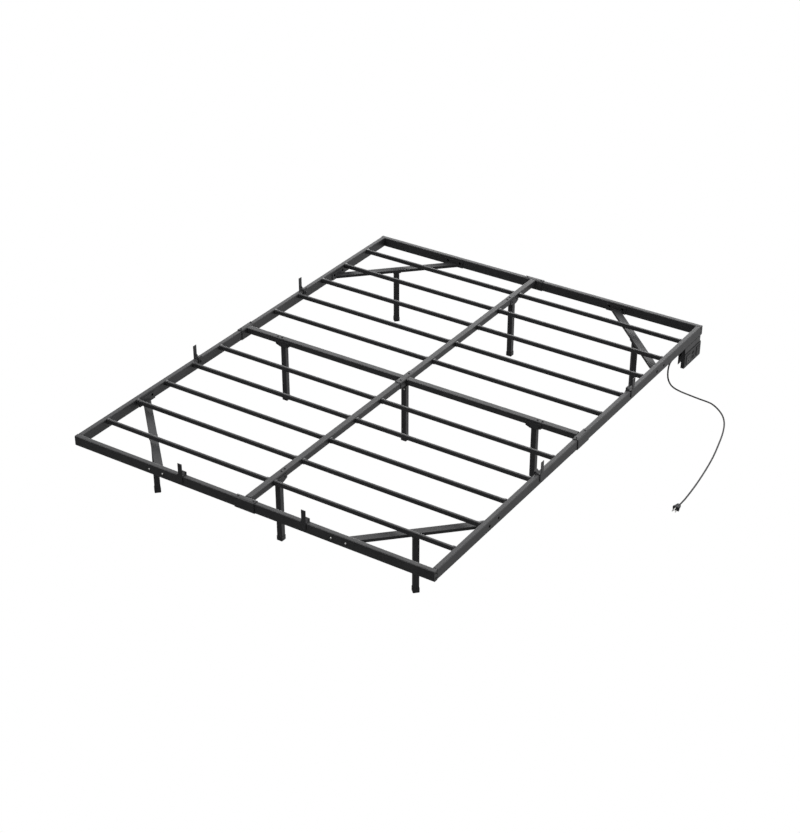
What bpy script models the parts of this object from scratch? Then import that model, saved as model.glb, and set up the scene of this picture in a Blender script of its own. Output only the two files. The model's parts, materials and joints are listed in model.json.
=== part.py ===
"""Slatted steel bed base for a queen-size mattress, with a power outlet under one rail.

Black powder-coated tube frame on nine square legs. Two beams cross under the mattress and
split the deck into four bays of thin slats. Metres, +Z up, +Y towards the head end, +X to
the side that carries the outlet. The origin is on the floor, under the middle leg.
"""

import math

import bmesh
import bpy
from mathutils import Matrix, Vector

# Overall sizes.
FRAME_WIDTH = 1.555
FRAME_LENGTH = 2.040
DECK_HEIGHT = 0.280

# Gap that two touching pieces keep, and the sliding fit of a tube over its spigot.
TOUCH = 0.0003
SLIDING_FIT = 0.0005

# How far a cutter passes the face it cuts, and the gap between cutters in line.
CUT_PAST = 0.002
CUT_GAP = 0.001

# Rails: rectangular tube, with a plate on each open end of the foot and head rails.
RAIL_WIDTH = 0.020
RAIL_HEIGHT = 0.040
RAIL_WALL = 0.0015
RAIL_RADIUS = 0.0030
END_PLATE = 0.002
END_RECESS = 0.0004
END_HOLE_RADIUS = 0.0038
END_HOLE_PITCH = 0.018
END_HOLE_DEPTH = 0.006

# Beams: square tube that stands proud of the rails, flush with the sleeves.
BEAM_SIDE = 0.025
BEAM_WALL = 0.0015
BEAM_RADIUS = 0.0025
BEAM_RISE = 0.003

# Slats: thin upright tube, ten rows in two halves.
SLAT_WIDTH = 0.010
SLAT_HEIGHT = 0.018
SLAT_WALL = 0.0012
SLAT_RADIUS = 0.0022
SLAT_ROWS = 5
FIRST_SLAT = 0.183
LAST_SLAT_INSET = 0.159

# Sleeves at the middle of each rail and the hub where the beams cross.
SLEEVE_LENGTH = 0.085
SLEEVE_WALL = 0.0024
HUB_LENGTH = 0.100
HUB_WALL = 0.0016
SPIGOT_LENGTH = 0.045

# Corner braces: shallow channel open downwards, bolted through a plate at each end.
BRACE_SLAT_GAP = 0.004
BRACE_WIDTH = 0.030
BRACE_DEPTH = 0.012
BRACE_WALL = 0.002
BRACE_PLATE_LENGTH = 0.090
BRACE_PLATE_HEIGHT = 0.030
BRACE_PLATE = 0.0025
BOLT_PITCH = 0.060
BOLT_HOLE_RADIUS = 0.0060
INNER_HOLE_RADIUS = 0.0095

# Legs: square tube, closed by its foot, on a saddle or a top plate.
LEG_SIDE = 0.022
LEG_WALL = 0.0015
LEG_RADIUS = 0.0020
FOOT_SIDE = 0.0226
FOOT_HEIGHT = 0.018
FOOT_SOLE = 0.004
TOP_PLATE = 0.002
TOP_PLATE_SIDE = 0.034
DRAIN_RADIUS = 0.0045
SADDLE_GRIP = 0.016
SADDLE_FLARE = 0.008
CROSS_SADDLE_LENGTH = 0.066
CENTRE_SADDLE_LENGTH = 0.060
SADDLE_SLAT_GAP = 0.007

# Mattress retainers: saddle over the rail with an upright tab on its outer side and a
# ramp up to its inner edge.
RETAINER_WIDTH = 0.022
RETAINER_TAB_WIDTH = 0.018
RETAINER_PLATE = 0.0025
RETAINER_TAB_RISE = 0.052
RETAINER_SHOULDER = 0.007
RETAINER_OUTER_DROP = 0.026
RETAINER_INNER_DROP = 0.022
RETAINER_EAR_RISE = 0.0095
RETAINER_RAMP_RUN = 0.012
RETAINER_RAMP_STEP = 0.0005
RETAINER_HOLE_RADIUS = 0.0024
RETAINER_PAST_SLAT = 0.0405
FOOT_RETAINER_SHARES = {"left": -0.364, "right": 0.324}

# Outlet box, hung under the head end of the right rail in an open bracket.
OUTLET_LENGTH = 0.150
OUTLET_HEIGHT = 0.088
OUTLET_DEPTH = 0.0125
OUTLET_INSET = 0.004
OUTLET_SEAM = 0.0040
APRON_HEIGHT = 0.0235
APRON_INSET = 0.008
BRACKET_PLATE = 0.0018
BRACKET_STANDOFF = 0.0115
REAR_PLATE_LIFT = 0.012
STANDOFF_RADIUS = 0.004
STANDOFF_PITCH = 0.100

# Mains lead with its strain relief and plug.
CORD_RADIUS = 0.00325
RELIEF_LENGTH = 0.032
RELIEF_ROOT_RADIUS = 0.0054
RELIEF_TIP_RADIUS = 0.0042
RELIEF_BELOW_RAIL = 0.0082
RELIEF_INSET = 0.0120
PLUG_LENGTH = 0.030
PLUG_WIDTH = 0.026
PLUG_HEIGHT = 0.018
PLUG_NECK_SHARE = 0.55
PLUG_SHOULDER_SHARE = 0.45
PLUG_REST = 0.0003
BLADE_LENGTH = 0.017
BLADE_HEIGHT = 0.0064
BLADE_THICKNESS = 0.0016
BLADE_PITCH = 0.0127
BLADE_ROOT = 0.004
PIN_RADIUS = 0.0024
PIN_LENGTH = 0.0195
PIN_RISE = 0.0045

# Places that several pieces share.
HALF_WIDTH = FRAME_WIDTH / 2
HALF_LENGTH = FRAME_LENGTH / 2
INNER_X = HALF_WIDTH - RAIL_WIDTH
INNER_Y = HALF_LENGTH - RAIL_WIDTH
RAIL_MID = DECK_HEIGHT - RAIL_HEIGHT / 2
RAIL_BOTTOM = DECK_HEIGHT - RAIL_HEIGHT
BEAM_MID = DECK_HEIGHT + BEAM_RISE - BEAM_SIDE / 2
BEAM_BOTTOM = DECK_HEIGHT + BEAM_RISE - BEAM_SIDE
LAST_SLAT = HALF_LENGTH - LAST_SLAT_INSET
SLAT_PITCH = (LAST_SLAT - FIRST_SLAT) / (SLAT_ROWS - 1)
BRACE_CENTRE_Y = LAST_SLAT - SLAT_PITCH - SLAT_WIDTH / 2 - BRACE_SLAT_GAP - BRACE_PLATE_LENGTH / 2
BRACE_REACH = INNER_Y - BRACE_CENTRE_Y
LEG_X = INNER_X - BRACE_REACH / 2
LEG_Y = INNER_Y - BRACE_REACH / 2
CENTRE_LEG_Y = LAST_SLAT - SLAT_WIDTH / 2 - SADDLE_SLAT_GAP - CENTRE_SADDLE_LENGTH / 2
SLEEVE_INNER = INNER_X - TOUCH - SLEEVE_WALL
SLEEVE_INNER_Y = INNER_Y - TOUCH - SLEEVE_WALL
HUB_HALF = BEAM_SIDE / 2 + TOUCH + HUB_WALL

# Route of the cord: from the strain relief, down to the floor and out to the plug.
# Its points and its end are measured from the floor under the head right corner.
CORD_CORNER = Vector((HALF_WIDTH, HALF_LENGTH, 0))
CORD_START = Vector((
    HALF_WIDTH - RELIEF_INSET,
    HALF_LENGTH - OUTLET_INSET - OUTLET_LENGTH - TOUCH - RELIEF_LENGTH,
    RAIL_BOTTOM - RELIEF_BELOW_RAIL,
))
CORD_CLEARANCE = 0.0004
CORD_FLOOR = CORD_RADIUS + CORD_CLEARANCE
CORD_ROUTE = [
    (-0.0120, -0.2120, 0.2316),
    (-0.0120, -0.2350, 0.2316),
    (-0.0119, -0.2520, 0.2311),
    (-0.0117, -0.2665, 0.2270),
    (-0.0115, -0.2767, 0.2172),
    (-0.0112, -0.2815, 0.2035),
    (-0.0107, -0.2830, 0.1860),
    (-0.0075, -0.2790, 0.1560),
    (-0.0005, -0.2550, 0.1180),
    (0.0130, -0.2090, 0.0780),
    (0.0396, -0.1570, 0.0400),
    (0.0685, -0.1250, 0.0165),
    (0.0905, -0.1130, 0.0075),
    (0.1185, -0.1135, CORD_FLOOR + 0.0006),
    (0.1585, -0.1390, CORD_FLOOR),
    (0.1970, -0.1783, CORD_FLOOR),
    (0.2271, -0.2300, CORD_FLOOR),
    (0.2516, -0.2979, CORD_FLOOR),
    (0.2725, -0.3801, CORD_FLOOR),
    (0.2955, -0.4861, CORD_FLOOR),
    (0.3127, -0.5989, CORD_FLOOR),
    (0.3248, -0.7062, CORD_FLOOR),
    (0.3320, -0.8011, CORD_FLOOR + 0.0010),
    (0.3340, -0.8400, CORD_FLOOR + 0.0035),
]
CORD_END = CORD_CORNER + Vector((0.3345, -0.8640, PLUG_HEIGHT / 2 + PLUG_REST))
CORD_POINTS = 78
ROUTE_STEPS = 24

# Turn that stands a plan outline on edge: its X becomes Y, its Y becomes Z and its height X.
TURN_UPRIGHT = Matrix(((0, 0, 1, 0), (1, 0, 0, 0), (0, 1, 0, 0), (0, 0, 0, 1)))

SMOOTH_ANGLE = math.radians(35)
ROUND_STEPS = 16
CORNER_STEPS = 3
SLAT_CORNER_STEPS = 2


def clear_scene():
    """Start from an empty scene."""
    for thing in list(bpy.data.objects):
        bpy.data.objects.remove(thing, do_unlink=True)


def make_material(name, colour, roughness, metallic=0.0):
    """A plain Principled material."""
    material = bpy.data.materials.new(name)
    material.use_nodes = True
    shader = material.node_tree.nodes["Principled BSDF"]
    shader.inputs["Base Color"].default_value = (*colour, 1.0)
    shader.inputs["Roughness"].default_value = roughness
    shader.inputs["Metallic"].default_value = metallic
    material.diffuse_color = (*colour, 1.0)
    return material


def link_mesh(name, bm):
    """Give a bmesh outward faces and put it in the scene as an object."""
    bmesh.ops.recalc_face_normals(bm, faces=bm.faces)
    mesh = bpy.data.meshes.new(name)
    bm.to_mesh(mesh)
    bm.free()
    obj = bpy.data.objects.new(name, mesh)
    bpy.context.scene.collection.objects.link(obj)
    return obj


def block(low, high):
    """A box between two opposite corners."""
    low, high = Vector(low), Vector(high)
    bm = bmesh.new()
    bmesh.ops.create_cube(bm, size=1.0)
    size = high - low
    bmesh.ops.scale(bm, vec=(abs(size.x), abs(size.y), abs(size.z)), verts=bm.verts)
    bmesh.ops.translate(bm, vec=(low + high) / 2, verts=bm.verts)
    return link_mesh("block", bm)


def rod(start, end, radius, tip_radius=None, steps=ROUND_STEPS):
    """A round bar, or a cone, from one point to another."""
    start, end = Vector(start), Vector(end)
    along = end - start
    bm = bmesh.new()
    bmesh.ops.create_cone(
        bm, cap_ends=True, segments=steps, radius1=radius,
        radius2=radius if tip_radius is None else tip_radius, depth=along.length,
    )
    turn = along.to_track_quat("Z", "Y").to_matrix().to_4x4()
    bmesh.ops.transform(bm, matrix=Matrix.Translation((start + end) / 2) @ turn, verts=bm.verts)
    return link_mesh("rod", bm)


def prism(outline, low, high):
    """A plan outline raised from one height to another."""
    bm = bmesh.new()
    base = bm.faces.new([bm.verts.new((x, y, low)) for x, y in outline])
    top = bmesh.ops.extrude_face_region(bm, geom=[base])["geom"]
    raised = [part for part in top if isinstance(part, bmesh.types.BMVert)]
    bmesh.ops.translate(bm, vec=(0, 0, high - low), verts=raised)
    return link_mesh("prism", bm)


def rounded_outline(width, height, radius, steps):
    """Points of a rectangle with rounded corners, counter-clockwise."""
    points = []
    for corner in range(4):
        across = 1 if corner in (0, 3) else -1
        up = 1 if corner in (0, 1) else -1
        centre_x = across * (width / 2 - radius)
        centre_y = up * (height / 2 - radius)
        for step in range(steps + 1):
            angle = math.pi / 2 * (corner + step / steps)
            points.append((centre_x + radius * math.cos(angle), centre_y + radius * math.sin(angle)))
    return points


def tube(width, height, wall, radius, length, steps=CORNER_STEPS):
    """An open-ended rectangular tube along X, from 0 to its length."""
    bm = bmesh.new()
    outer = rounded_outline(width, height, radius, steps)
    inner = rounded_outline(width - 2 * wall, height - 2 * wall, max(radius - wall, wall / 4), steps)
    loops = []
    for along in (0.0, length):
        for outline in (outer, inner):
            loops.append([bm.verts.new((along, y, z)) for y, z in outline])
    near_outer, near_inner, far_outer, far_inner = loops
    count = len(near_outer)
    for index in range(count):
        after = (index + 1) % count
        for one, other in ((near_outer, far_outer), (near_inner, far_inner),
                           (near_outer, near_inner), (far_outer, far_inner)):
            bm.faces.new((one[index], one[after], other[after], other[index]))
    return link_mesh("tube", bm)


def move(obj, location=(0, 0, 0), turn=0.0):
    """Move the mesh itself, after a turn about Z."""
    obj.data.transform(Matrix.Translation(location) @ Matrix.Rotation(turn, 4, "Z"))
    return obj


def combine(base, others, operation):
    """Join meshes to a base, or cut them out of it, in one exact Boolean."""
    group = bpy.data.collections.new("operands")
    for other in others:
        group.objects.link(other)
    modifier = base.modifiers.new(operation.lower(), "BOOLEAN")
    modifier.operation = operation
    modifier.solver = "EXACT"
    modifier.operand_type = "COLLECTION"
    modifier.collection = group
    bpy.context.view_layer.update()
    shaped = bpy.data.meshes.new_from_object(base.evaluated_get(bpy.context.evaluated_depsgraph_get()))
    base.modifiers.clear()
    base.data = shaped
    for other in others:
        bpy.data.objects.remove(other, do_unlink=True)
    bpy.data.collections.remove(group)
    return base


def finish_node(obj, name, material, parent, location=(0, 0, 0), turn=0.0):
    """Name a piece, place it, give it its material and shade its round faces smooth."""
    obj.name = name
    obj.data.name = name
    obj.data.materials.clear()
    obj.data.materials.append(material)
    obj.data.shade_smooth()
    obj.data.set_sharp_from_angle(angle=SMOOTH_ANGLE)
    obj.location = location
    obj.rotation_euler = (0.0, 0.0, turn)
    obj.parent = parent
    return obj


def bolt_cutters(centre, along, out):
    """Two bolt holes through a rail: small in its outer wall, wide in its inner wall."""
    cutters = []
    for side in (-1, 1):
        hole = Vector(centre) + Vector(along) * side * BOLT_PITCH / 2
        face = Vector(out)
        middle = hole + face * RAIL_WIDTH / 2
        cutters.append(rod(middle, hole + face * (RAIL_WIDTH + CUT_PAST), BOLT_HOLE_RADIUS))
        cutters.append(rod(hole - face * CUT_PAST, middle - face * CUT_GAP, INNER_HOLE_RADIUS))
    return cutters


def end_rail(name, side, material, parent):
    """Foot (side -1) or head (side 1) rail: full width, with a holed plate on each end."""
    rail = tube(RAIL_WIDTH, RAIL_HEIGHT, RAIL_WALL, RAIL_RADIUS, FRAME_WIDTH)
    move(rail, (-HALF_WIDTH, 0, 0))
    plates = []
    inside = rounded_outline(
        RAIL_HEIGHT - RAIL_WALL, RAIL_WIDTH - RAIL_WALL, RAIL_RADIUS - RAIL_WALL / 2, CORNER_STEPS)
    for end in (-1, 1):
        plate = prism(inside, 0, END_PLATE)
        plate.data.transform(Matrix.Rotation(math.pi / 2, 4, "Y"))
        start = HALF_WIDTH - END_RECESS - END_PLATE if end > 0 else -HALF_WIDTH + END_RECESS
        plates.append(move(plate, (start, 0, 0)))
    combine(rail, plates, "UNION")
    cutters = []
    for end in (-1, 1):
        for step in (-0.5, 0.5):
            height = step * END_HOLE_PITCH
            start = (end * (HALF_WIDTH + CUT_PAST), 0, height)
            stop = (end * (HALF_WIDTH - END_HOLE_DEPTH), 0, height)
            cutters.append(rod(start, stop, END_HOLE_RADIUS))
        bolt_x = end * (INNER_X - BRACE_REACH)
        cutters += bolt_cutters((bolt_x, -side * RAIL_WIDTH / 2, 0), (1, 0, 0), (0, side, 0))
    combine(rail, cutters, "DIFFERENCE")
    place = (0, side * (HALF_LENGTH - RAIL_WIDTH / 2), RAIL_MID)
    return finish_node(rail, name, material, parent, place)


def side_rail(name, side, end, material, parent):
    """Half of a side rail: side is -1 left or 1 right, end is -1 foot or 1 head."""
    length = INNER_Y - 1.5 * TOUCH
    rail = tube(RAIL_WIDTH, RAIL_HEIGHT, RAIL_WALL, RAIL_RADIUS, length)
    move(rail, turn=math.pi / 2)
    if end < 0:
        move(rail, (0, -length, 0))
    bolt_y = end * (INNER_Y - BRACE_REACH - TOUCH / 2)
    cutters = bolt_cutters((-side * RAIL_WIDTH / 2, bolt_y, 0), (0, 1, 0), (side, 0, 0))
    combine(rail, cutters, "DIFFERENCE")
    place = (side * (HALF_WIDTH - RAIL_WIDTH / 2), end * TOUCH / 2, RAIL_MID)
    return finish_node(rail, name, material, parent, place)


def spigot_block(start, reach):
    """Square spigot along X that fits inside a beam, from a start to its reach."""
    half = BEAM_SIDE / 2 - BEAM_WALL - SLIDING_FIT
    low, high = sorted((start, reach))
    return block((low, -half, -half), (high, half, half))


def rail_sleeve(name, turn, inner_face, material, parent):
    """Sleeve round the middle of a rail, with a spigot that points to the hub."""
    gap = 2 * TOUCH
    sleeve = tube(
        RAIL_WIDTH + gap + 2 * SLEEVE_WALL, RAIL_HEIGHT + gap + 2 * SLEEVE_WALL,
        SLEEVE_WALL, RAIL_RADIUS + TOUCH + SLEEVE_WALL, SLEEVE_LENGTH,
    )
    move(sleeve, (-SLEEVE_LENGTH / 2, 0, 0))
    move(sleeve, turn=math.pi / 2)
    face = RAIL_WIDTH / 2 + TOUCH + SLEEVE_WALL
    spigot = spigot_block(-(face - SLEEVE_WALL / 2), -(face + SPIGOT_LENGTH))
    move(spigot, (0, 0, BEAM_MID - RAIL_MID))
    combine(sleeve, [spigot], "UNION")
    centre = inner_face + RAIL_WIDTH / 2
    place = (centre * math.cos(turn), centre * math.sin(turn), RAIL_MID)
    return finish_node(sleeve, name, material, parent, place, turn)


def centre_hub(material, parent):
    """Sleeve round the centre beam, with a spigot each way for the cross beam."""
    side = 2 * HUB_HALF
    hub = tube(side, side, HUB_WALL, BEAM_RADIUS + TOUCH + HUB_WALL, HUB_LENGTH)
    move(hub, (-HUB_LENGTH / 2, 0, 0))
    move(hub, turn=math.pi / 2)
    start = HUB_HALF - HUB_WALL / 2
    spigots = [spigot_block(way * start, way * (HUB_HALF + SPIGOT_LENGTH)) for way in (-1, 1)]
    combine(hub, spigots, "UNION")
    return finish_node(hub, "centre_hub", material, parent, (0, 0, BEAM_MID))


def beam(name, start, end, turn, material, parent):
    """Square tube that lies from start to end along the direction of the turn."""
    piece = tube(BEAM_SIDE, BEAM_SIDE, BEAM_WALL, BEAM_RADIUS, end - start)
    place = (start * math.cos(turn), start * math.sin(turn), BEAM_MID)
    return finish_node(piece, name, material, parent, place, turn)


def slat(name, side, row_y, material, parent):
    """Half slat from the centre beam to a side rail."""
    start = BEAM_SIDE / 2 + TOUCH
    end = INNER_X - TOUCH
    piece = tube(SLAT_WIDTH, SLAT_HEIGHT, SLAT_WALL, SLAT_RADIUS, end - start, SLAT_CORNER_STEPS)
    left = start if side > 0 else -end
    return finish_node(piece, name, material, parent, (left, row_y, DECK_HEIGHT - SLAT_HEIGHT / 2))


def brace(name, side, end, material, parent):
    """Diagonal channel across a corner, welded to a bolting plate at each end."""
    top = RAIL_BOTTOM + BRACE_DEPTH
    face_x = INNER_X - TOUCH - BRACE_PLATE
    face_y = INNER_Y - TOUCH - BRACE_PLATE
    reach_x = INNER_X - BRACE_REACH
    reach_y = INNER_Y - BRACE_REACH

    def band(half, into):
        """Plan of the diagonal, a half width each side, running into the plates."""
        spread = half * math.sqrt(2)
        at_y, at_x = face_y + into, face_x + into
        x_mid, y_mid = reach_x + (INNER_Y - at_y), reach_y + (INNER_X - at_x)
        corners = [(x_mid - spread, at_y), (x_mid + spread, at_y),
                   (at_x, y_mid + spread), (at_x, y_mid - spread)]
        return [(side * x, end * y) for x, y in corners]

    body = prism(band(BRACE_WIDTH / 2, BRACE_PLATE / 2), RAIL_BOTTOM, top)
    half = BRACE_PLATE_LENGTH / 2
    plate_top = RAIL_BOTTOM + BRACE_PLATE_HEIGHT
    plates = [
        block((side * (reach_x - half), end * face_y, RAIL_BOTTOM),
              (side * (reach_x + half), end * (INNER_Y - TOUCH), plate_top)),
        block((side * face_x, end * (reach_y - half), RAIL_BOTTOM),
              (side * (INNER_X - TOUCH), end * (reach_y + half), plate_top)),
    ]
    combine(body, plates, "UNION")
    channel = band(BRACE_WIDTH / 2 - BRACE_WALL, 0)
    cutters = [prism(channel, RAIL_BOTTOM - CUT_PAST, top - BRACE_WALL)]
    for way in (-1, 1):
        shift = way * BOLT_PITCH / 2
        hole_x, hole_y = side * (reach_x + shift), end * (reach_y + shift)
        cutters.append(rod((hole_x, end * (face_y - CUT_PAST), RAIL_MID),
                           (hole_x, end * (INNER_Y + CUT_PAST), RAIL_MID), BOLT_HOLE_RADIUS))
        cutters.append(rod((side * (face_x - CUT_PAST), hole_y, RAIL_MID),
                           (side * (INNER_X + CUT_PAST), hole_y, RAIL_MID), BOLT_HOLE_RADIUS))
    combine(body, cutters, "DIFFERENCE")
    return finish_node(body, name, material, parent)


def leg_body(top):
    """Square tube with its foot, closed below and drained through the plate on top."""
    leg_outline = rounded_outline(LEG_SIDE, LEG_SIDE, LEG_RADIUS, CORNER_STEPS)
    foot_outline = rounded_outline(FOOT_SIDE, FOOT_SIDE, LEG_RADIUS, CORNER_STEPS)
    body = prism(leg_outline, FOOT_HEIGHT / 2, top)
    sole = prism(foot_outline, 0, FOOT_HEIGHT)
    bore = LEG_SIDE / 2 - LEG_WALL
    hollow = block((-bore, -bore, FOOT_SOLE), (bore, bore, top - TOP_PLATE))
    return combine(body, [sole], "UNION"), hollow


def plate_leg(name, place, top, turn, material, parent):
    """Leg with a square plate on top, under a brace or the hub."""
    body, hollow = leg_body(top - TOUCH)
    half = TOP_PLATE_SIDE / 2
    plate = block((-half, -half, top - TOUCH - TOP_PLATE), (half, half, top - TOUCH))
    combine(body, [plate], "UNION")
    drain = rod((0, 0, top - 2 * TOP_PLATE), (0, 0, top + CUT_PAST), DRAIN_RADIUS)
    combine(body, [hollow, drain], "DIFFERENCE")
    return finish_node(body, name, material, parent, (*place, 0), turn)


def saddle_leg(name, place, length, turn, material, parent):
    """Leg whose flared saddle holds a beam that runs along local X."""
    seat = BEAM_BOTTOM - TOUCH
    body, hollow = leg_body(seat)
    inside = BEAM_SIDE / 2 + TOUCH
    outside = inside + TOP_PLATE
    pieces = [block((-length / 2, -outside, seat - TOP_PLATE), (length / 2, outside, seat))]
    half = LEG_SIDE / 2
    low, high = seat - TOP_PLATE - SADDLE_FLARE, seat + SADDLE_GRIP
    outline = [(-half, low), (half, low), (length / 2, seat - TOP_PLATE),
               (length / 2, high), (-length / 2, high), (-length / 2, seat - TOP_PLATE)]
    for way in (-1, 1):
        cheek = prism(outline, 0, TOP_PLATE)
        cheek.data.transform(Matrix.Rotation(math.pi / 2, 4, "X"))
        pieces.append(move(cheek, (0, outside if way > 0 else -inside, 0)))
    combine(body, pieces, "UNION")
    drain = rod((0, 0, seat - 2 * TOP_PLATE), (0, 0, seat + CUT_PAST), DRAIN_RADIUS)
    combine(body, [hollow, drain], "DIFFERENCE")
    return finish_node(body, name, material, parent, (*place, 0), turn)


def retainer(name, place, turn, material, parent):
    """Mattress retainer: the rail runs along local X, and local +Y is its outer side."""
    outer = RAIL_WIDTH / 2 + TOUCH
    wide = RETAINER_WIDTH / 2
    over = TOUCH + RETAINER_PLATE
    back = outer + RETAINER_PLATE
    tab_foot = RETAINER_SHOULDER - RETAINER_PLATE
    body = block((-wide, outer, -RETAINER_OUTER_DROP), (wide, back, RETAINER_SHOULDER))
    slope = [(-outer - RETAINER_PLATE / 2, over - RETAINER_PLATE / 2),
             (RETAINER_RAMP_RUN - outer, over - RETAINER_PLATE / 2),
             (RETAINER_RAMP_RUN - outer, over + RETAINER_RAMP_STEP),
             (-outer - RETAINER_PLATE / 2, RETAINER_EAR_RISE - RETAINER_RAMP_STEP)]
    ramp = prism(slope, RETAINER_PLATE - wide, wide - RETAINER_PLATE)
    ramp.data.transform(TURN_UPRIGHT)
    pieces = [
        block((-wide, outer, tab_foot), (RETAINER_TAB_WIDTH - wide, back, RETAINER_TAB_RISE)),
        block((-wide, -outer, TOUCH), (wide, outer + RETAINER_PLATE / 2, over)),
        block((-wide, -back, -RETAINER_INNER_DROP), (wide, -outer, RETAINER_EAR_RISE)),
        ramp,
    ]
    combine(body, pieces, "UNION")
    hole_z = -RETAINER_INNER_DROP / 2
    hole = rod((0, -back - CUT_PAST, hole_z), (0, CUT_PAST - outer, hole_z), RETAINER_HOLE_RADIUS)
    combine(body, [hole], "DIFFERENCE")
    return finish_node(body, name, material, parent, (*place, DECK_HEIGHT), turn)


def outlet_bracket(material, parent):
    """Hanger under the rail: an apron outside, a plate behind and two standoffs."""
    head = HALF_LENGTH - OUTLET_INSET
    foot = head - OUTLET_LENGTH
    top = RAIL_BOTTOM - TOUCH
    box_back = HALF_WIDTH - BRACKET_PLATE - TOUCH - OUTLET_DEPTH
    rear = box_back - TOUCH - BRACKET_STANDOFF
    rear_low = top - BRACKET_PLATE - TOUCH - OUTLET_HEIGHT + REAR_PLATE_LIFT
    half = BRACKET_PLATE / 2
    hanger = [(rear - half, top - BRACKET_PLATE), (HALF_WIDTH - BRACKET_PLATE, top - BRACKET_PLATE),
              (HALF_WIDTH - BRACKET_PLATE, top - APRON_HEIGHT), (HALF_WIDTH, top - APRON_HEIGHT),
              (HALF_WIDTH, top), (rear - half, top)]
    body = prism(hanger, APRON_INSET - head, -foot)
    body.data.transform(Matrix.Rotation(math.pi / 2, 4, "X"))
    pieces = [block((rear - BRACKET_PLATE, foot + half, rear_low), (rear, head, top - half))]
    middle_z = top - OUTLET_HEIGHT / 2
    for way in (-0.5, 0.5):
        y = (head + foot) / 2 + way * STANDOFF_PITCH
        pieces.append(rod((rear - half, y, middle_z), (box_back - TOUCH, y, middle_z), STANDOFF_RADIUS))
    combine(body, pieces, "UNION")
    return finish_node(body, "outlet_bracket", material, parent)


def outlet_box(material, parent):
    """Outlet housing: its face is flush with the apron, below a narrow seam."""
    head = HALF_LENGTH - OUTLET_INSET
    foot = head - OUTLET_LENGTH
    top = RAIL_BOTTOM - TOUCH - BRACKET_PLATE - TOUCH
    bottom = top - OUTLET_HEIGHT
    face = HALF_WIDTH - BRACKET_PLATE - TOUCH
    back = face - OUTLET_DEPTH
    shoulder = RAIL_BOTTOM - TOUCH - APRON_HEIGHT - OUTLET_SEAM
    body = block((back, foot, bottom), (HALF_WIDTH, head, shoulder))
    upper = block((back, foot, shoulder - OUTLET_SEAM), (face, head - APRON_INSET, top))
    combine(body, [upper], "UNION")
    return finish_node(body, "outlet_box", material, parent)


def strain_relief(material, parent):
    """Tapered rubber sleeve on the foot end of the outlet box."""
    root = CORD_START + Vector((0, RELIEF_LENGTH, 0))
    body = rod(root, CORD_START, RELIEF_ROOT_RADIUS, RELIEF_TIP_RADIUS)
    return finish_node(body, "cord_strain_relief", material, parent)


def smooth_route(points, count):
    """Evenly spaced points on a Catmull-Rom curve through the route."""
    knots = [points[0] * 2 - points[1]] + points + [points[-1] * 2 - points[-2]]
    dense = []
    for index in range(1, len(knots) - 2):
        a, b, c, d = knots[index - 1:index + 3]
        for step in range(ROUTE_STEPS):
            t = step / ROUTE_STEPS
            dense.append(0.5 * (2 * b + (c - a) * t + (2 * a - 5 * b + 4 * c - d) * t * t
                                + (3 * b - a - 3 * c + d) * t ** 3))
    dense.append(points[-1])
    travelled = [0.0]
    for before, after in zip(dense, dense[1:]):
        travelled.append(travelled[-1] + (after - before).length)
    picked, place = [], 0
    for step in range(count):
        target = travelled[-1] * step / (count - 1)
        while place < len(dense) - 2 and travelled[place + 1] < target:
            place += 1
        share = (target - travelled[place]) / (travelled[place + 1] - travelled[place])
        picked.append(dense[place].lerp(dense[place + 1], min(max(share, 0.0), 1.0)))
    return picked


def power_cord(material, parent):
    """Round lead from the strain relief to the plug."""
    start = CORD_START - Vector((0, TOUCH, 0))
    route = [start] + [CORD_CORNER + Vector(point) for point in CORD_ROUTE] + [CORD_END]
    points = smooth_route(route, CORD_POINTS)
    curve = bpy.data.curves.new("power_cord", "CURVE")
    curve.dimensions = "3D"
    curve.bevel_depth = CORD_RADIUS
    curve.bevel_resolution = 2
    curve.use_fill_caps = True
    spline = curve.splines.new("POLY")
    spline.points.add(len(points) - 1)
    for knot, point in zip(spline.points, points):
        knot.co = (*point, 1.0)
    obj = bpy.data.objects.new("power_cord", curve)
    bpy.context.scene.collection.objects.link(obj)
    curve.materials.append(material)
    obj.parent = parent
    return obj


def cord_plug(material, parent):
    """Three-pin plug that lies flat, its blades in line with the cord."""
    half, middle = PLUG_WIDTH / 2, PLUG_HEIGHT / 2
    neck, shoulder = half * PLUG_NECK_SHARE, -PLUG_LENGTH * PLUG_SHOULDER_SHARE
    outline = [(-neck, 0), (neck, 0), (half, shoulder),
               (half, -PLUG_LENGTH), (-half, -PLUG_LENGTH), (-half, shoulder)]
    body = prism(outline, 0, PLUG_HEIGHT)
    root, tip = BLADE_ROOT - PLUG_LENGTH, -PLUG_LENGTH - BLADE_LENGTH
    blade_low = middle - BLADE_HEIGHT / 2 - PIN_RISE / 2
    pieces = []
    for way in (-1, 1):
        x = way * BLADE_PITCH / 2
        low = (x - BLADE_THICKNESS / 2, tip, blade_low)
        high = (x + BLADE_THICKNESS / 2, root, blade_low + BLADE_HEIGHT)
        pieces.append(block(low, high))
    pin_z = middle + PIN_RISE
    pieces.append(rod((0, root, pin_z), (0, -PLUG_LENGTH - PIN_LENGTH, pin_z), PIN_RADIUS))
    combine(body, pieces, "UNION")
    place = (CORD_END.x, CORD_END.y - TOUCH, PLUG_REST)
    return finish_node(body, "cord_plug", material, parent, place)


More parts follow.
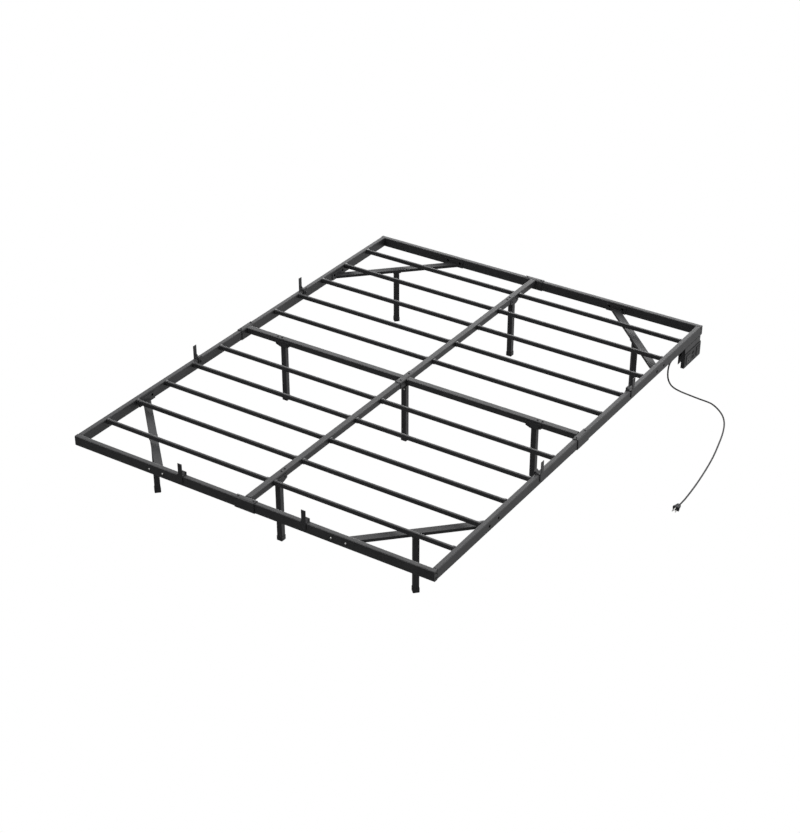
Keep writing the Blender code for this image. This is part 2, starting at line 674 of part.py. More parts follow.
def build():
    """Model every piece of the bed base."""
    clear_scene()
    steel = make_material("black_powder_coat", (0.030, 0.030, 0.032), 0.50)
    plastic = make_material("black_plastic", (0.022, 0.022, 0.024), 0.55)
    rubber = make_material("black_rubber", (0.020, 0.020, 0.021), 0.65)
    root = bpy.data.objects.new("bed_base", None)
    bpy.context.scene.collection.objects.link(root)
    sides = {"left": -1, "right": 1}
    ends = {"foot": -1, "head": 1}
    quarter = math.pi / 2

    for end, way in ends.items():
        end_rail(f"{end}_rail", way, steel, root)
        rail_sleeve(f"{end}_sleeve", way * quarter, INNER_Y, steel, root)
    for side, way in sides.items():
        rail_sleeve(f"{side}_sleeve", 0.0 if way > 0 else math.pi, INNER_X, steel, root)
        for end, along in ends.items():
            side_rail(f"{side}_rail_{end}", way, along, steel, root)
            brace(f"brace_{end}_{side}", way, along, steel, root)

    centre_hub(steel, root)
    for end, way in ends.items():
        beam(f"centre_beam_{end}", TOUCH / 2, SLEEVE_INNER_Y - TOUCH, way * quarter, steel, root)
    for side, way in sides.items():
        turn = 0.0 if way > 0 else math.pi
        beam(f"cross_beam_{side}", HUB_HALF + TOUCH, SLEEVE_INNER - TOUCH, turn, steel, root)
        for row in range(2 * SLAT_ROWS):
            step = row - SLAT_ROWS if row >= SLAT_ROWS else SLAT_ROWS - 1 - row
            row_y = (1 if row >= SLAT_ROWS else -1) * (FIRST_SLAT + step * SLAT_PITCH)
            slat(f"slat_{side}_{row + 1:02d}", way, row_y, steel, root)

    for side, way in sides.items():
        saddle_leg(f"leg_mid_{side}", (way * LEG_X, 0), CROSS_SADDLE_LENGTH, 0.0, steel, root)
        for end, along in ends.items():
            plate_leg(f"leg_{end}_{side}", (way * LEG_X, along * LEG_Y), RAIL_BOTTOM,
                      math.pi / 4, steel, root)
    for end, along in ends.items():
        saddle_leg(f"leg_{end}_centre", (0, along * CENTRE_LEG_Y), CENTRE_SADDLE_LENGTH, quarter,
                   steel, root)
    plate_leg("leg_mid_centre", (0, 0), BEAM_BOTTOM - TOUCH - HUB_WALL, 0.0, steel, root)

    rail_x, rail_y = HALF_WIDTH - RAIL_WIDTH / 2, HALF_LENGTH - RAIL_WIDTH / 2
    for side, share in FOOT_RETAINER_SHARES.items():
        retainer(f"retainer_foot_{side}", (share * HALF_WIDTH, -rail_y), math.pi, steel, root)
    for side, way in sides.items():
        for end, along in ends.items():
            y = along * (FIRST_SLAT + SLAT_PITCH) + RETAINER_PAST_SLAT
            retainer(f"retainer_{side}_{end}", (way * rail_x, y), -way * quarter, steel, root)

    outlet_bracket(steel, root)
    outlet_box(plastic, root)
    strain_relief(rubber, root)
    power_cord(rubber, root)
    cord_plug(plastic, root)


build()
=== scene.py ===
"""Looks of the slatted bed base: finishes, cord, fittings, outlet and stage."""

import json
import math

import bpy
from bpy.props import FloatProperty, FloatVectorProperty, IntProperty, PointerProperty
from bpy.types import Operator, Panel, PropertyGroup
from mathutils import Matrix, Vector


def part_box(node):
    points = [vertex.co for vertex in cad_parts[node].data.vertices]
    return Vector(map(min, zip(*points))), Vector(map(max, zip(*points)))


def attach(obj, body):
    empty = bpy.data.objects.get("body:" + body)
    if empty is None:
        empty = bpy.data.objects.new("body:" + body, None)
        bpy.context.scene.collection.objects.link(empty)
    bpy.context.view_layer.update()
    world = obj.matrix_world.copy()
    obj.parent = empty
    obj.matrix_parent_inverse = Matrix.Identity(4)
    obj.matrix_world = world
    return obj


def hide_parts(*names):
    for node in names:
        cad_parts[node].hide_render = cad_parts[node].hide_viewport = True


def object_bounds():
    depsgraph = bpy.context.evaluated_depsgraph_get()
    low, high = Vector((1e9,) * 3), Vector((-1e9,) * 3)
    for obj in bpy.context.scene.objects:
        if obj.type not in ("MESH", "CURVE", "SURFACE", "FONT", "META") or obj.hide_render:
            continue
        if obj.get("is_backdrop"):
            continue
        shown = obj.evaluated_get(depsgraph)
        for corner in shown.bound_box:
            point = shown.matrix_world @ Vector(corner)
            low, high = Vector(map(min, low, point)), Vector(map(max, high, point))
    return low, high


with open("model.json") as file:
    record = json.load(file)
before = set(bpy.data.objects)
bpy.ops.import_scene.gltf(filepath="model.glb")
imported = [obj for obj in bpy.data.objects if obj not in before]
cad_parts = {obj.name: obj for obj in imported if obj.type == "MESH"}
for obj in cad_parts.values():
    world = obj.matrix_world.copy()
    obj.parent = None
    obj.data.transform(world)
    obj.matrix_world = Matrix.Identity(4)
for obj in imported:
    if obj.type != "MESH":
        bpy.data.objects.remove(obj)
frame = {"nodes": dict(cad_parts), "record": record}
CAD_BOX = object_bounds()

bl_info = {
    "name": "Bed Base Looks",
    "version": (1, 0, 0),
    "blender": (4, 5, 0),
    "location": "3D View > Sidebar > Bed Base",
    "description": "Finishes, fittings, cord and stage of a slatted steel bed base",
    "category": "Object",
}

STEEL_SLOT = "black_powder_coat"
PLASTIC_SLOT = "black_plastic"
RUBBER_SLOT = "black_rubber"
BODY = "frame"
SLOTS = {entry["node"]: entry["material_slot"] for entry in frame["record"]["subparts"]}


def corners(node):
    """Lowest and highest corner of a CAD node."""
    low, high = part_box(node)
    return Vector(low), Vector(high)


def middle(node):
    """Middle of a CAD node's box."""
    low, high = corners(node)
    return (low + high) / 2


RAIL_LOW, RAIL_HIGH = corners("head_rail")
HALF_WIDTH = RAIL_HIGH.x
HALF_LENGTH = RAIL_HIGH.y
DECK_TOP = RAIL_HIGH.z
BEAM_TOP = corners("centre_beam_head")[1].z
INNER_X = corners("slat_right_01")[1].x
OUTLET_LOW, OUTLET_HIGH = corners("outlet_box")
BRACKET_LOW, BRACKET_HIGH = corners("outlet_bracket")
RELIEF_LOW, RELIEF_HIGH = corners("cord_strain_relief")
PLUG_LOW, PLUG_HIGH = corners("cord_plug")
RETAINERS = sorted(name for name in frame["nodes"] if name.startswith("retainer_"))
LEGS = sorted(name for name in frame["nodes"] if name.startswith("leg_"))
SLATS = sorted(name for name in frame["nodes"] if name.startswith("slat_"))

# Directions, gaps, rounded edges and angles that many pieces share.
UP = Vector((0, 0, 1))
TO_RIGHT = Vector((1, 0, 0))
TOUCH = 0.0003
LIFT = 0.0001
TINY_EDGE = 0.0002
THIN_EDGE = 0.0003
SOFT_EDGE = 0.0004
SQUARE_ON = 0.99
SHARP_ANGLE = math.radians(40)
SMOOTH_ANGLE = math.radians(38)
FLOOR_DROP = 0.0005

# Texture that every finish shares.
CLOUD_SCALE, CLOUD_DETAIL = 22.0, 5.0
CLOUD_START, CLOUD_END = 0.3, 0.7
RUB_SCALE, RUB_DETAIL = 70.0, 4.0
GLOSS_SPREAD = 0.12
GRAIN_DETAIL, GRAIN_STRENGTH = 2.0, 0.35
EDGE_SAMPLES = 4

# Strain relief and plug. Taper, tail, grooves and reach are shares of the full size.
RELIEF_SIDES = 24
RELIEF_TAPER = 0.78
RELIEF_GROOVE = 0.86
PLUG_LENGTH = 0.030
PLUG_TAIL_WIDTH, PLUG_TAIL_HEIGHT = 0.52, 0.70
PLUG_STEPS = 12
PLUG_GROOVES = (6, 8, 10)
PLUG_GROOVE_WIDTH, PLUG_GROOVE_HEIGHT = 0.88, 0.90
PLUG_EDGE = 0.0016
PIN_SPREAD = 0.00635
PIN_ROOT = 0.002
BLADE_HALF_WIDTH, BLADE_HALF_HEIGHT = 0.0008, 0.0032
BLADE_REACH = 0.87
BLADE_DROP = 0.00225
EARTH_PIN_RADIUS, EARTH_PIN_RISE, EARTH_PIN_EDGE = 0.0024, 0.0045, 0.0008

# Foot caps.
FOOT_HALF = 0.0113
CAP_BOTTOM, CAP_TOP = 0.0006, 0.0188
CAP_CORNER = 0.0021

# Button screws and where they sit. Edge, rim and recess are shares of the height or radius.
SCREW_SIDES = 12
SCREW_EDGE, SCREW_RIM, SCREW_RECESS = 0.55, 0.22, 0.7
SLEEVE_SCREW_SPREAD, SLEEVE_SCREW_INSET = 0.033, 0.010
HUB_SCREW_REACH = 0.030
BEAM_SCREW_X, BEAM_SCREW_Y, BEAM_SCREW_STEP = 0.597, 0.792, 0.010
END_LEG_SCREW_STEP, SIDE_LEG_SCREW_STEP = 0.018, 0.024
LEG_SCREW_DROP = 0.008
BOLT_X, BOLT_Y, BOLT_DROP = 0.004, -0.0111, 0.020
BRACKET_SCREW_STEP = 0.05

# Rivets and thumb screws. Groove and rim are shares of the radius.
ROUND_SIDES = 20
RIVET_ROOT, RIVET_TOP, RIVET_ROUNDING = 0.0016, 0.0032, 0.0029
RIVET_STEP = 0.03
KNOB_BOTTOM, KNOB_TOP = 0.0002, 0.0050
KNOB_GROOVE = 0.88
KNOB_RIM, KNOB_RECESS = 0.35, 0.0008
KNOB_DROP = 0.011
SADDLE_REACH = 0.05

# Outlet face. Steps run from its foot end towards the head.
OUTLET_APRON, OUTLET_SEAM = 0.0235, 0.0040
PLATE_RIM, PLATE_DEPTH, PLATE_CORNER = 0.0012, 0.0012, 0.003
PLATE_BORDER, PLATE_RECESS = 0.0022, 0.0004
SOCKET_FRONT = 0.0009
SOCKET_STEPS = (0.034, 0.126)
PORT_STEP, PORT_SPREAD = 0.080, 0.0095
# Near-black strip in the outlet seam: painted shade of the groove.
SEAM_SHADE_BACK, SEAM_SHADE_FRONT = 0.0020, 0.0006
SEAM_SHADE_INSET, SEAM_SHADE_STOP = 0.0010, 0.009
# Near-black ring round each socket insert: painted shade of the recess round it.
SURROUND_HALF_WIDTH, SURROUND_HALF_HEIGHT, SURROUND_DEPTH = 0.0185, 0.0200, 0.0004
INSERT_HALF_WIDTH, INSERT_HALF_HEIGHT, INSERT_DEPTH = 0.0165, 0.0180, 0.0013
INSERT_EDGE = 0.00015
SOCKET_CORNER = 0.006
SLOT_HALF_WIDTH, SLOT_HEIGHT = 0.0016, 0.010
SLOT_BACK, SLOT_FRONT = 0.001, 0.004
EARTH_RADIUS, EARTH_DROP = 0.0032, 0.0075
PORT_HALF_WIDTH, PORT_HALF_HEIGHT, PORT_DEPTH = 0.0080, 0.0045, 0.0011
PORT_RIM, PORT_RECESS = 0.0007, 0.0008
TONGUE_HALF_WIDTH, TONGUE_BACK = 0.0055, 0.0006
TONGUE_LOW, TONGUE_HIGH = 0.0004, 0.0018

# The cord, as the CAD has it. Its points are measured from the floor under the head right corner.
CORD_RADIUS = 0.00325
CORD_FLOOR = CORD_RADIUS + 0.0004
CORD_POINTS = 78
CORD_ROUNDING = 4
ROUTE_STEPS = 24
CORD_CORNER = Vector((HALF_WIDTH, HALF_LENGTH, 0))
CORD_ROUTE = [
    (-0.0120, -0.2120, 0.2316),
    (-0.0120, -0.2350, 0.2316),
    (-0.0119, -0.2520, 0.2311),
    (-0.0117, -0.2665, 0.2270),
    (-0.0115, -0.2767, 0.2172),
    (-0.0112, -0.2815, 0.2035),
    (-0.0107, -0.2830, 0.1860),
    (-0.0075, -0.2790, 0.1560),
    (-0.0005, -0.2550, 0.1180),
    (0.0130, -0.2090, 0.0780),
    (0.0396, -0.1570, 0.0400),
    (0.0685, -0.1250, 0.0165),
    (0.0905, -0.1130, 0.0075),
    (0.1185, -0.1135, CORD_FLOOR + 0.0006),
    (0.1585, -0.1390, CORD_FLOOR),
    (0.1970, -0.1783, CORD_FLOOR),
    (0.2271, -0.2300, CORD_FLOOR),
    (0.2516, -0.2979, CORD_FLOOR),
    (0.2725, -0.3801, CORD_FLOOR),
    (0.2955, -0.4861, CORD_FLOOR),
    (0.3127, -0.5989, CORD_FLOOR),
    (0.3248, -0.7062, CORD_FLOOR),
    (0.3320, -0.8011, CORD_FLOOR + 0.0010),
    (0.3340, -0.8400, CORD_FLOOR + 0.0035),
    (0.3345, -0.8640, 0.0093),
]


class BedFinishes(PropertyGroup):
    """Colours and surfaces."""

    coat_colour: FloatVectorProperty(
        name="Powder coat", description="Colour of the steel's coat",
        subtype="COLOR", min=0, max=1, default=(0.034, 0.034, 0.036))
    coat_roughness: FloatProperty(
        name="Coat roughness", description="Roughness of the powder coat", min=0, max=1, default=0.42)
    coat_grain: FloatProperty(
        name="Coat grain", description="Height of the powder coat's texture",
        subtype="DISTANCE", unit="LENGTH", default=0.00012)
    edge_radius: FloatProperty(
        name="Edge radius", description="How soft the coat leaves the sheet's edges",
        subtype="DISTANCE", unit="LENGTH", default=0.0014)
    plastic_colour: FloatVectorProperty(
        name="Plastic", description="Colour of caps, outlet and plug",
        subtype="COLOR", min=0, max=1, default=(0.026, 0.026, 0.028))
    rubber_colour: FloatVectorProperty(
        name="Rubber", description="Colour of the cord",
        subtype="COLOR", min=0, max=1, default=(0.036, 0.036, 0.037))
    screw_colour: FloatVectorProperty(
        name="Screws", description="Colour of the blackened screws",
        subtype="COLOR", min=0, max=1, default=(0.060, 0.060, 0.062))
    zinc_colour: FloatVectorProperty(
        name="Zinc", description="Colour of the plug blades and earth pin",
        subtype="COLOR", min=0, max=1, default=(0.62, 0.62, 0.60))


class BedFittings(PropertyGroup):
    """Sizes of the small fittings."""

    cap_wall: FloatProperty(
        name="Foot cap wall", description="Wall of a foot cap",
        subtype="DISTANCE", unit="LENGTH", default=0.0008)
    screw_radius: FloatProperty(
        name="Screw head radius", description="Radius of a button screw's head",
        subtype="DISTANCE", unit="LENGTH", default=0.0038)
    screw_height: FloatProperty(
        name="Screw head height", description="Height of a button screw's head",
        subtype="DISTANCE", unit="LENGTH", default=0.0018)
    rivet_radius: FloatProperty(
        name="Rivet radius", description="Radius of a rivet in the end rails",
        subtype="DISTANCE", unit="LENGTH", default=0.0042)
    knob_radius: FloatProperty(
        name="Thumb screw radius", description="Radius of a retainer's thumb screw",
        subtype="DISTANCE", unit="LENGTH", default=0.0058)
    knob_ribs: IntProperty(
        name="Thumb screw ribs", description="Grip ribs round a thumb screw", min=6, max=24, default=12)
    clip_wall: FloatProperty(
        name="Clip wall", description="Sheet thickness of a slat clip",
        subtype="DISTANCE", unit="LENGTH", default=0.0009)
    clip_length: FloatProperty(
        name="Clip length", description="How far a clip reaches along its slat",
        subtype="DISTANCE", unit="LENGTH", default=0.010)
    relief_rings: IntProperty(
        name="Strain relief rings", description="Flex rings in the strain relief", min=3, max=12, default=6)


class BedStage(PropertyGroup):
    """Camera, floor and light."""

    camera_place: FloatVectorProperty(
        name="Camera place", description="Where the camera stands",
        subtype="TRANSLATION", unit="LENGTH", default=(3.3366, -5.1437, 3.7793))
    camera_tilt: FloatProperty(
        name="Camera tilt", description="Angle below the horizon",
        subtype="ANGLE", default=math.radians(30.93))
    camera_turn: FloatProperty(
        name="Camera turn", description="Turn about the vertical",
        subtype="ANGLE", default=math.radians(33.15))
    lens: FloatProperty(
        name="Lens", description="Focal length in millimetres", default=79.11)
    floor_colour: FloatVectorProperty(
        name="Floor", description="Colour of the floor",
        subtype="COLOR", min=0, max=1, default=(1.0, 1.0, 1.0))
    floor_size: FloatProperty(
        name="Floor size", description="Side of the floor",
        subtype="DISTANCE", unit="LENGTH", default=400.0)
    light_from: FloatVectorProperty(
        name="Light from", description="Direction of the soft light",
        subtype="DIRECTION", default=(0.35, 0.65, 0.67))
    light_strength: FloatProperty(
        name="Light strength", description="Strength of the soft light", default=1.25)
    light_fill: FloatProperty(
        name="Light fill", description="Light from every side", default=0.145)
    glow_from: FloatVectorProperty(
        name="Glow from", description="Direction of the softbox behind the bed",
        subtype="DIRECTION", default=(-0.44, 0.88, 0.06))
    glow_strength: FloatProperty(
        name="Glow strength", description="Strength of the softbox behind the bed", default=6.0)
    glow_focus: FloatProperty(
        name="Glow focus", description="How narrow the softbox is", default=30.0)
    key_from: FloatVectorProperty(
        name="Key from", description="Direction of the small softbox above the foot end",
        subtype="DIRECTION", default=(-0.47, -0.48, 0.69))
    key_strength: FloatProperty(
        name="Key strength", description="Strength of the small softbox", default=5.0)
    key_focus: FloatProperty(
        name="Key focus", description="How narrow the small softbox is", default=40.0)


def deselect():
    """Nothing selected, so an operator acts only on what comes next."""
    if bpy.context.object and bpy.context.object.mode != "OBJECT":
        bpy.ops.object.mode_set(mode="OBJECT")
    bpy.ops.object.select_all(action="DESELECT")


def pick(piece):
    """Make a piece the only one selected."""
    deselect()
    piece.select_set(True)
    bpy.context.view_layer.objects.active = piece


def start_block(low, high):
    """A cube primitive at its size and place."""
    low, high = Vector(low), Vector(high)
    deselect()
    bpy.ops.mesh.primitive_cube_add(size=1, location=(low + high) / 2, scale=high - low)
    bpy.ops.object.transform_apply(location=True, rotation=True, scale=True)
    return bpy.context.active_object


def start_round(radius, low, high, sides, tip=None):
    """An upright cylinder or cone primitive between two heights."""
    deselect()
    bpy.ops.mesh.primitive_cone_add(
        vertices=sides, radius1=radius, radius2=radius if tip is None else tip,
        depth=high - low, location=(0, 0, (low + high) / 2))
    bpy.ops.object.transform_apply(location=True, rotation=True, scale=True)
    return bpy.context.active_object


def select_faces(piece, test):
    """Enter edit mode with the faces that pass a test."""
    pick(piece)
    bpy.ops.object.mode_set(mode="EDIT")
    bpy.ops.mesh.select_mode(type="FACE")
    bpy.ops.mesh.select_all(action="DESELECT")
    bpy.ops.object.mode_set(mode="OBJECT")
    for face in piece.data.polygons:
        face.select = test(face)
    bpy.ops.object.mode_set(mode="EDIT")


def select_edges(piece, test):
    """Enter edit mode with the edges whose two ends pass a test."""
    pick(piece)
    bpy.ops.object.mode_set(mode="EDIT")
    bpy.ops.mesh.select_mode(type="EDGE")
    bpy.ops.mesh.select_all(action="DESELECT")
    bpy.ops.object.mode_set(mode="OBJECT")
    points = piece.data.vertices
    for edge in piece.data.edges:
        start, end = edge.vertices
        edge.select = test(points[start].co, points[end].co)
    bpy.ops.object.mode_set(mode="EDIT")


def leave_edit():
    """Back to object mode."""
    bpy.ops.object.mode_set(mode="OBJECT")


def recess(piece, way, rim, depth):
    """Inset the face that looks one way and sink it."""
    select_faces(piece, lambda face: face.normal.dot(way) > SQUARE_ON)
    bpy.ops.mesh.inset(thickness=rim)
    bpy.ops.mesh.extrude_region_move(TRANSFORM_OT_translate={"value": -depth * way})
    leave_edit()


def apply_modifier(piece, kind, **settings):
    """Add a modifier, set it and apply it."""
    pick(piece)
    modifier = piece.modifiers.new(kind.title(), kind)
    for name, value in settings.items():
        setattr(modifier, name, value)
    bpy.ops.object.modifier_apply(modifier=modifier.name)


def soften(piece, width, segments=2):
    """Round a piece's sharp edges."""
    apply_modifier(piece, "BEVEL", width=width, segments=segments, limit_method="ANGLE",
                   angle_limit=SHARP_ANGLE)


def cut(piece, cutters):
    """Cut closed shapes out of a piece."""
    for cutter in cutters:
        apply_modifier(piece, "BOOLEAN", object=cutter, operation="DIFFERENCE", solver="EXACT")
        bpy.data.objects.remove(cutter, do_unlink=True)


def finish_piece(piece, name, material, body=BODY):
    """Name a piece, give it its finish and let it ride its body."""
    piece.name = name
    piece.data.name = name
    piece.data.materials.clear()
    piece.data.materials.append(material)
    pick(piece)
    if piece.type == "MESH":
        bpy.ops.object.shade_smooth_by_angle(angle=SMOOTH_ANGLE)
    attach(piece, body)
    return piece


def place_copy(master, name, matrix, material, body=BODY):
    """A copy of a modelled piece, with its own mesh, at a place."""
    piece = master.copy()
    piece.data = master.data.copy()
    bpy.context.scene.collection.objects.link(piece)
    piece.data.transform(matrix)
    return finish_piece(piece, name, material, body)


def discard(master):
    """Remove the piece that the copies were made from."""
    bpy.data.objects.remove(master, do_unlink=True)


def facing(direction):
    """Turn that takes +Z to a direction."""
    return Vector(direction).to_track_quat("Z", "Y").to_matrix().to_4x4()


def surface_material(name, colour, roughness, metallic=0.0, grain_scale=900.0, grain_height=0.0001,
                     mottle=0.18, edge_radius=0.0):
    """Principled finish with mottled colour, uneven gloss, fine grain and soft edges."""
    found = bpy.data.materials.get(name)
    if found:
        return found
    material = bpy.data.materials.new(name)
    material.use_nodes = True
    nodes, links = material.node_tree.nodes, material.node_tree.links
    shader = nodes["Principled BSDF"]
    shader.inputs["Metallic"].default_value = metallic
    place = nodes.new("ShaderNodeTexCoord")

    clouds = nodes.new("ShaderNodeTexNoise")
    clouds.inputs["Scale"].default_value = CLOUD_SCALE
    clouds.inputs["Detail"].default_value = CLOUD_DETAIL
    links.new(place.outputs["Object"], clouds.inputs["Vector"])
    tint = nodes.new("ShaderNodeValToRGB")
    tint.color_ramp.elements[0].position = CLOUD_START
    tint.color_ramp.elements[1].position = CLOUD_END
    tint.color_ramp.elements[0].color = (*(part * (1 - mottle) for part in colour), 1)
    tint.color_ramp.elements[1].color = (*(part * (1 + mottle) for part in colour), 1)
    links.new(clouds.outputs["Fac"], tint.inputs["Fac"])
    links.new(tint.outputs["Color"], shader.inputs["Base Color"])

    gloss = nodes.new("ShaderNodeMapRange")
    gloss.inputs["To Min"].default_value = roughness * (1 - GLOSS_SPREAD)
    gloss.inputs["To Max"].default_value = min(1.0, roughness * (1 + GLOSS_SPREAD))
    rub = nodes.new("ShaderNodeTexNoise")
    rub.inputs["Scale"].default_value = RUB_SCALE
    rub.inputs["Detail"].default_value = RUB_DETAIL
    links.new(place.outputs["Object"], rub.inputs["Vector"])
    links.new(rub.outputs["Fac"], gloss.inputs["Value"])
    links.new(gloss.outputs["Result"], shader.inputs["Roughness"])

    peel = nodes.new("ShaderNodeTexNoise")
    peel.inputs["Scale"].default_value = grain_scale
    peel.inputs["Detail"].default_value = GRAIN_DETAIL
    links.new(place.outputs["Object"], peel.inputs["Vector"])
    bump = nodes.new("ShaderNodeBump")
    bump.inputs["Strength"].default_value = GRAIN_STRENGTH
    bump.inputs["Distance"].default_value = grain_height
    links.new(peel.outputs["Fac"], bump.inputs["Height"])
    links.new(bump.outputs["Normal"], shader.inputs["Normal"])
    if edge_radius:
        edge = nodes.new("ShaderNodeBevel")
        edge.samples = EDGE_SAMPLES
        edge.inputs["Radius"].default_value = edge_radius
        links.new(edge.outputs["Normal"], bump.inputs["Normal"])
    return material


def coat():
    """Satin black powder coat with its orange-peel texture."""
    finishes = bpy.context.scene.bed_finishes
    return surface_material("satin_powder_coat", finishes.coat_colour, roughness=finishes.coat_roughness,
                            grain_scale=650.0, grain_height=finishes.coat_grain,
                            edge_radius=finishes.edge_radius)


def moulded():
    """Finely sparked black plastic."""
    return surface_material("sparked_plastic", bpy.context.scene.bed_finishes.plastic_colour,
                            roughness=0.5, grain_scale=1500.0, grain_height=0.00008, mottle=0.08)


def glossy():
    """Smooth glossy plastic of the slat clips."""
    return surface_material("glossy_plastic", (0.05, 0.05, 0.052), roughness=0.22,
                            grain_scale=900.0, grain_height=0.00003)


def dull_plastic():
    """Dull black moulding of the plug."""
    return surface_material("dull_plastic", (0.014, 0.014, 0.015), roughness=0.62,
                            grain_scale=1300.0, grain_height=0.00010, mottle=0.10)


def pale_plastic():
    """Slightly lighter plastic of one socket."""
    return surface_material("pale_plastic", (0.060, 0.060, 0.062), roughness=0.45,
                            grain_scale=1500.0, grain_height=0.00008)


def painted_shade_black():
    """Near-black finish that paints the shade inside the sockets and ports, round the socket inserts and in
    the outlet seam.
    """
    return surface_material("painted_shade_inside", (0.006, 0.006, 0.006), roughness=0.7, mottle=0.05)


def rubber():
    """Dull extruded rubber."""
    return surface_material("cord_rubber", bpy.context.scene.bed_finishes.rubber_colour,
                            roughness=0.6, grain_scale=1100.0, grain_height=0.00005, mottle=0.10)


def blackened():
    """Black oxide screw steel."""
    return surface_material("blackened_screw", bpy.context.scene.bed_finishes.screw_colour,
                            roughness=0.35, metallic=0.7, grain_scale=1800.0, grain_height=0.00003)


def pale_zinc():
    """Pale zinc of the rivets and of the bolt under the hub."""
    return surface_material("pale_zinc", (0.94, 0.94, 0.92), roughness=0.30, metallic=1.0,
                            grain_scale=1600.0, grain_height=0.00003, mottle=0.04)


def zinc():
    """Bright zinc plate."""
    return surface_material("zinc_plate", bpy.context.scene.bed_finishes.zinc_colour,
                            roughness=0.28, metallic=1.0, grain_scale=1600.0, grain_height=0.00003,
                            mottle=0.10)


def smooth_route(points, count):
    """Evenly spaced points on a Catmull-Rom curve through the route."""
    knots = [points[0] * 2 - points[1]] + points + [points[-1] * 2 - points[-2]]
    dense = []
    for index in range(1, len(knots) - 2):
        a, b, c, d = knots[index - 1:index + 3]
        for step in range(ROUTE_STEPS):
            t = step / ROUTE_STEPS
            dense.append(0.5 * (2 * b + (c - a) * t + (2 * a - 5 * b + 4 * c - d) * t * t
                                + (3 * b - a - 3 * c + d) * t ** 3))
    dense.append(points[-1])
    travelled = [0.0]
    for before, after in zip(dense, dense[1:]):
        travelled.append(travelled[-1] + (after - before).length)
    picked, place = [], 0
    for step in range(count):
        target = travelled[-1] * step / (count - 1)
        while place < len(dense) - 2 and travelled[place + 1] < target:
            place += 1
        share = (target - travelled[place]) / (travelled[place + 1] - travelled[place])
        picked.append(dense[place].lerp(dense[place + 1], min(max(share, 0.0), 1.0)))
    return picked


class BED_OT_stage(Operator):
    """Camera, pale floor and soft studio light"""

    bl_idname = "bed.stage"
    bl_label = "Stage"

    def execute(self, context):
        stage = context.scene.bed_stage
        lens = bpy.data.cameras.new("camera")
        lens.lens = stage.lens
        camera = bpy.data.objects.new("camera", lens)
        camera.location = stage.camera_place
        camera.rotation_euler = (math.pi / 2 - stage.camera_tilt, 0, stage.camera_turn)
        context.scene.collection.objects.link(camera)
        context.scene.camera = camera

        deselect()
        bpy.ops.mesh.primitive_plane_add(size=stage.floor_size, location=(0, 0, -FLOOR_DROP))
        floor = context.active_object
        floor.name = "floor"
        floor.visible_diffuse = False
        floor.visible_glossy = False
        pale = bpy.data.materials.new("pale_floor")
        pale.use_nodes = True
        shader = pale.node_tree.nodes["Principled BSDF"]
        shader.inputs["Base Color"].default_value = (0, 0, 0, 1)
        shader.inputs["Specular IOR Level"].default_value = 0.0
        shader.inputs["Emission Color"].default_value = (*stage.floor_colour, 1)
        shader.inputs["Emission Strength"].default_value = 1.0
        floor.data.materials.append(pale)
        floor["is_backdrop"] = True
        self.light(context, stage)
        context.scene.view_settings.view_transform = "Standard"
        return {"FINISHED"}

    def light(self, context, stage):
        """Soft light that is strongest from one direction."""
        world = bpy.data.worlds.new("studio")
        world.use_nodes = True
        context.scene.world = world
        nodes, links = world.node_tree.nodes, world.node_tree.links
        place = nodes.new("ShaderNodeTexCoord")
        total = None
        for direction, focus, strength in ((stage.light_from, 1.0, stage.light_strength),
                                           (stage.glow_from, stage.glow_focus, stage.glow_strength),
                                           (stage.key_from, stage.key_focus, stage.key_strength)):
            toward = nodes.new("ShaderNodeVectorMath")
            toward.operation = "DOT_PRODUCT"
            toward.inputs[1].default_value = Vector(direction).normalized()
            links.new(place.outputs["Generated"], toward.inputs[0])
            lit = nodes.new("ShaderNodeMath")
            lit.operation = "MAXIMUM"
            lit.inputs[1].default_value = 0.0
            links.new(toward.outputs["Value"], lit.inputs[0])
            narrowed = nodes.new("ShaderNodeMath")
            narrowed.operation = "POWER"
            narrowed.inputs[1].default_value = focus
            links.new(lit.outputs["Value"], narrowed.inputs[0])
            share = nodes.new("ShaderNodeMath")
            share.operation = "MULTIPLY_ADD"
            share.inputs[1].default_value = strength
            share.inputs[2].default_value = stage.light_fill
            links.new(narrowed.outputs["Value"], share.inputs[0])
            if total:
                links.new(total.outputs["Value"], share.inputs[2])
            total = share
        links.new(total.outputs["Value"], nodes["Background"].inputs["Strength"])
        nodes["Background"].inputs["Color"].default_value = (1, 1, 1, 1)


